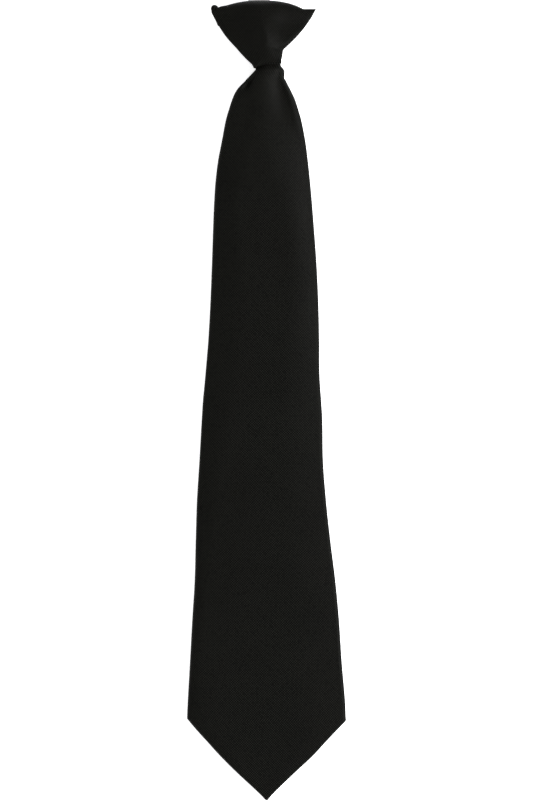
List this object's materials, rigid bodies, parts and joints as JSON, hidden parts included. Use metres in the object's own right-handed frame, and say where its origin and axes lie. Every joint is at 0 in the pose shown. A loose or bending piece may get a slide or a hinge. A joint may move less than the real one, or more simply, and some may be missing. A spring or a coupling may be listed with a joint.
{
  "type": "clip-on tie",
  "caption": "Ready-tied necktie in black twill with a fixed knot, a pointed blade and a bent strap clip behind the knot that hooks over a buttoned shirt collar.",
  "frame": {"origin": "on the blade's centre line, halfway between the clip's bend and the point, at the height of the surface that the tie lies on", "axes": "+Y from the point to the knot, +X to the right seen from the front, +Z out of the tie's front, up as it lies on its back"},
  "size_m": [0.0888, 0.4486, 0.0187],
  "materials": {
    "blade_cloth": "black bias-cut fine twill, soft sheen",
    "knot_cloth": "black bias-cut fine twill, soft sheen",
    "clip_steel": "nickel plated, slightly satin"
  },
  "bodies": {
    "root": {"blade": "blade_cloth", "knot_wrap": "knot_cloth", "clip": "clip_steel"}
  },
  "joints": []
}
